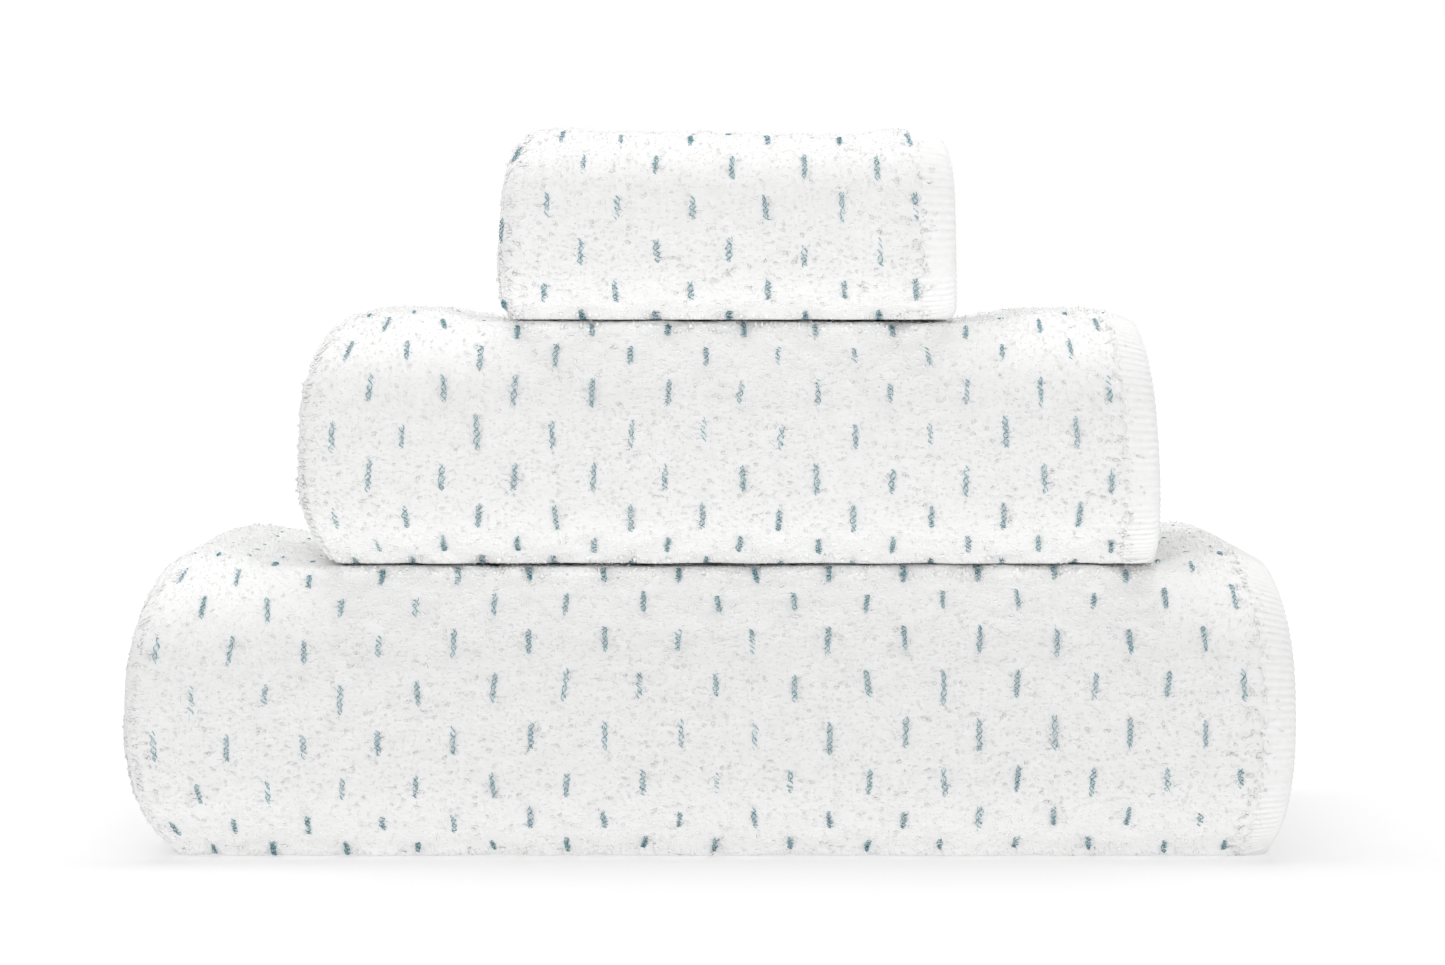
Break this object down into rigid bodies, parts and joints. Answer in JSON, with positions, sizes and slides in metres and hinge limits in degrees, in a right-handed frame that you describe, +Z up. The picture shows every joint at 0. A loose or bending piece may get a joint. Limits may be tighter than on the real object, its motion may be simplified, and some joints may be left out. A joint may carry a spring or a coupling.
{
  "type": "bath towel set",
  "caption": "Folded terry bath towel, hand towel and face towel in a stepped stack, white with a staggered pattern of short blue yarn dashes and ribbed side hems.",
  "frame": {"origin": "middle of the stack's footprint, on the surface it rests on", "axes": "+X along the towels' width, from the creased side to the hemmed side; +Y from the rolled front to the back; +Z up"},
  "size_m": [0.35, 0.2482, 0.2178],
  "materials": {
    "terry_white": "deep looped cotton pile, matt, faint warm white",
    "hem_tape": "flat ribbed cotton, matt",
    "sewing_thread": "fine twisted thread, slight sheen",
    "dash_blue": "dusty teal-blue twisted yarn with white specks, slight sheen"
  },
  "bodies": {
    "bath_towel": {"bath_terry_cloth": "terry_white", "bath_side_hem_outer": "hem_tape", "bath_side_thread_outer": "sewing_thread", "bath_side_hem_inner": "hem_tape", "bath_side_thread_inner": "sewing_thread", "bath_end_hem_outer": "hem_tape", "bath_end_thread_outer": "sewing_thread", "bath_end_hem_inner": "hem_tape", "bath_end_thread_inner": "sewing_thread"},
    "hand_towel": {"hand_terry_cloth": "terry_white", "hand_side_hem_outer": "hem_tape", "hand_side_thread_outer": "sewing_thread", "hand_side_hem_inner": "hem_tape", "hand_side_thread_inner": "sewing_thread", "hand_end_hem_outer": "hem_tape", "hand_end_thread_outer": "sewing_thread", "hand_end_hem_inner": "hem_tape", "hand_end_thread_inner": "sewing_thread"},
    "face_towel": {"face_terry_cloth": "terry_white", "face_side_hem_outer": "hem_tape", "face_side_thread_outer": "sewing_thread", "face_side_hem_inner": "hem_tape", "face_side_thread_inner": "sewing_thread", "face_end_hem_outer": "hem_tape", "face_end_thread_outer": "sewing_thread", "face_end_hem_inner": "hem_tape", "face_end_thread_inner": "sewing_thread"}
  },
  "joints": [
    {"name": "hand_towel_lift", "type": "slide", "parent": "bath_towel", "child": "hand_towel", "axis": [0, 0, 1], "range_m": [0, 0.15]},
    {"name": "face_towel_lift", "type": "slide", "parent": "hand_towel", "child": "face_towel", "axis": [0, 0, 1], "range_m": [0, 0.15]}
  ]
}
